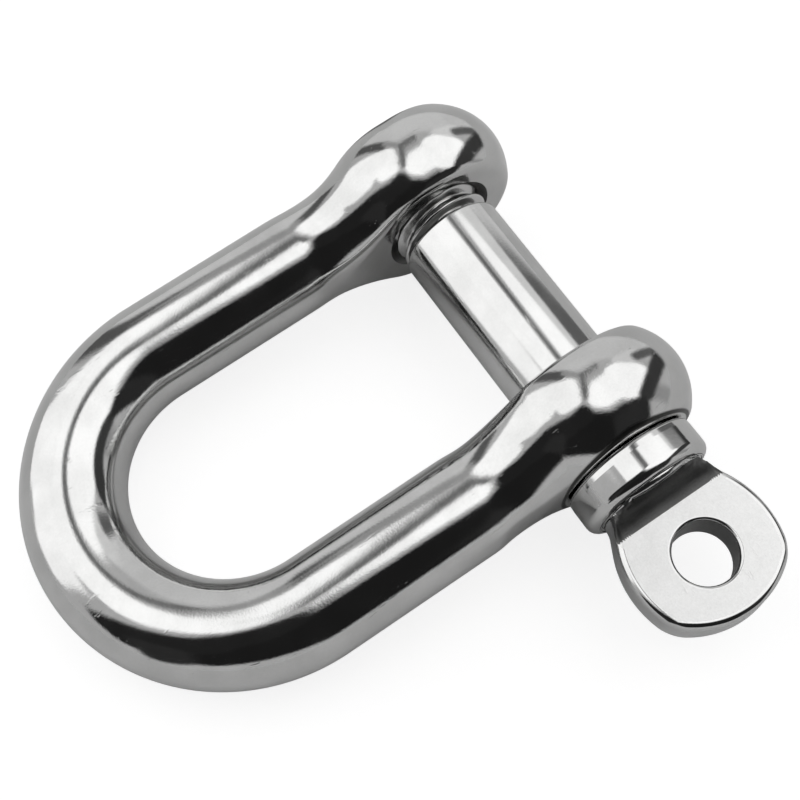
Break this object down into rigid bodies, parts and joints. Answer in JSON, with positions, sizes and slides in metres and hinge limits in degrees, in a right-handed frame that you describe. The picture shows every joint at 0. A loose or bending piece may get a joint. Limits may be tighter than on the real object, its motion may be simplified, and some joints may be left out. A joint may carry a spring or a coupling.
{
  "type": "dee shackle",
  "caption": "Round-bar dee shackle with flat-faced ball ears, closed by a collared screw pin with a flat eye.",
  "frame": {"origin": "on the pin's axis, midway between the two ears", "axes": "+X from the crown to the pin, +Y along the pin to its threaded end, +Z square to the bow's plane"},
  "size_m": [0.0607, 0.058, 0.018],
  "materials": {
    "polished_steel": "polished stainless steel",
    "pin_steel": "polished stainless steel with a satin eye"
  },
  "bodies": {
    "bow": {"bow": "polished_steel"},
    "collar": {"pin_collar": "pin_steel"},
    "pin": {"pin": "pin_steel"}
  },
  "joints": [
    {"name": "pin_travel", "type": "slide", "parent": "bow", "child": "collar", "axis": [0, -1, 0], "range_m": [0, 0.042]},
    {"name": "pin_turn", "type": "hinge", "parent": "collar", "child": "pin", "pos_m": [0, 0, 0], "axis": [0, -1, 0], "range_deg": [0, 10080]}
  ],
  "couplings": [
    {"joint": "pin_turn", "follows": "pin_travel", "rad_per_m": 4188.8}
  ]
}
